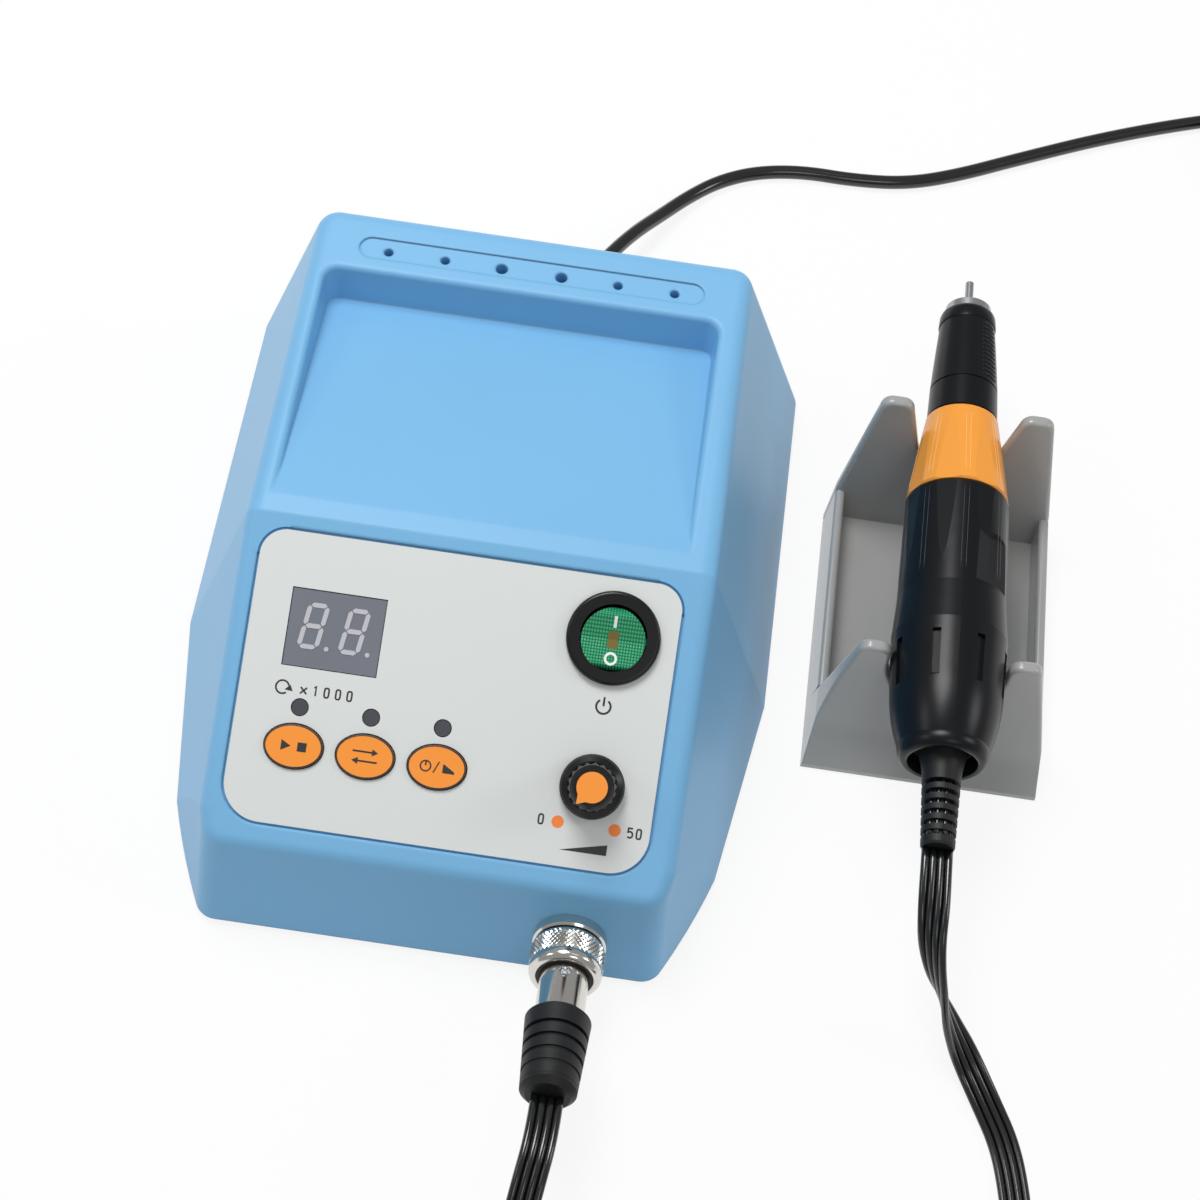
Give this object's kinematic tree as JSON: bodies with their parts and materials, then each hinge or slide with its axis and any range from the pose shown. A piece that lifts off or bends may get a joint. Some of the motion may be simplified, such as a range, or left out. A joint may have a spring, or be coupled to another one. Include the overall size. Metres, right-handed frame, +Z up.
{
  "type": "micromotor control unit",
  "caption": "Bench control unit for a small electric handpiece, with sloping panel, tool tray, bur sockets, corded motor handpiece and a separate cradle.",
  "frame": {"origin": "on the bench, under the middle of the set without its cords", "axes": "+Z up, +Y from the sloping front panel to the rear wall, +X from the control unit to the cradle"},
  "size_m": [0.3521, 0.4793, 0.066],
  "materials": {
    "shell_blue": "moulded ABS, satin",
    "base_black": "moulded",
    "foot_rubber": "matt",
    "steel": "turned",
    "label_grey": "printed film",
    "board_green": "circuit board",
    "display_dark": "display face",
    "segment_grey": "unlit segment",
    "led_dark": "light pipe",
    "inner_black": "moulded",
    "key_orange": "moulded",
    "gloss_black": "moulded",
    "brass": "bright",
    "rocker_green": "translucent",
    "knob_black": "moulded",
    "chrome": "nickel plated",
    "boot_black": "ribbed sleeve",
    "core_steel": "laminated",
    "winding": "taped winding",
    "cord_black": "gloss PVC",
    "cradle_grey": "moulded, satin",
    "hand_black": "anodised, satin",
    "collar_orange": "anodised",
    "lamp_amber": "neon lamp"
  },
  "bodies": {
    "root": {"base_plate": "base_black", "base_screws": "steel", "board_screws": "steel", "control_board": "board_green", "cradle": "cradle_grey", "display_module": "display_dark", "display_segments": "segment_grey", "feet": "foot_rubber", "hand_cord": "cord_black", "housing": "shell_blue", "indicator_leds": "led_dark", "mains_bush": "cord_black", "mains_coil": "cord_black", "mains_cord": "cord_black", "mains_plug": "cord_black", "mains_tail": "cord_black", "motor_coil": "cord_black", "panel_label": "label_grey", "panel_socket": "chrome", "plug_barrel": "chrome", "plug_boot": "boot_black", "plug_pins": "brass", "pot_nut": "steel", "socket_contacts": "brass", "socket_cord": "cord_black", "socket_nut": "chrome", "speed_pot": "steel", "switch_housing": "gloss_black", "switch_lamp": "lamp_amber", "switch_terminals": "brass", "tact_switches": "inner_black", "transformer_core": "core_steel", "transformer_winding": "winding"},
    "knob": {"speed_knob": "knob_black", "knob_pointer": "key_orange", "pot_shaft": "steel"},
    "rocker": {"power_rocker": "rocker_green"},
    "start_button": {"start_key": "key_orange"},
    "direction_button": {"direction_key": "key_orange"},
    "hand_foot_button": {"hand_foot_key": "key_orange"},
    "coupling_ring": {"plug_ring": "chrome"},
    "handpiece": {"hand_body": "hand_black", "end_bell": "hand_black", "hand_relief": "boot_black", "hand_sleeve": "hand_black", "nose_cap": "steel", "motor_can": "core_steel", "brush_carrier": "inner_black", "brushes": "core_steel", "rear_bearing": "steel", "front_bearing": "steel"},
    "collar": {"hand_collar": "collar_orange"},
    "spindle": {"spindle": "steel", "rotor": "core_steel", "commutator": "brass", "collet": "steel", "bur_shank": "steel"}
  },
  "joints": [
    {"name": "knob_turn", "type": "hinge", "parent": "root", "child": "knob", "pos_m": [-0.0019, -0.06799, 0.04194], "axis": [0, 0.4373, -0.8993], "range_deg": [0, 288]},
    {"name": "rocker_tilt", "type": "hinge", "parent": "root", "child": "rocker", "pos_m": [-0.002, -0.03447, 0.05579], "axis": [-1, 0, 0], "range_deg": [0, 14]},
    {"name": "start_press", "type": "slide", "parent": "root", "child": "start_button", "axis": [0, 0.4373, -0.8993], "range_m": [0, 0.0005], "stiffness_N_per_m": 800, "springref_m": -0.0005},
    {"name": "direction_press", "type": "slide", "parent": "root", "child": "direction_button", "axis": [0, 0.4373, -0.8993], "range_m": [0, 0.0005], "stiffness_N_per_m": 800, "springref_m": -0.0005},
    {"name": "hand_foot_press", "type": "slide", "parent": "root", "child": "hand_foot_button", "axis": [0, 0.4373, -0.8993], "range_m": [0, 0.0005], "stiffness_N_per_m": 800, "springref_m": -0.0005},
    {"name": "ring_turn", "type": "hinge", "parent": "root", "child": "coupling_ring", "pos_m": [-0.0018, -0.09634, 0.01438], "axis": [0, -0.9523, 0.3053], "continuous": true},
    {"name": "handpiece_lift", "type": "slide", "parent": "root", "child": "handpiece", "axis": [0, 0, 1], "range_m": [0, 0.06]},
    {"name": "collar_twist", "type": "hinge", "parent": "handpiece", "child": "collar", "pos_m": [0.0834, -0.1003, 0.036], "axis": [0, 1, 0], "range_deg": [0, 60]},
    {"name": "spindle_spin", "type": "hinge", "parent": "handpiece", "child": "spindle", "pos_m": [0.0834, -0.1003, 0.036], "axis": [0, 1, 0], "continuous": true}
  ]
}
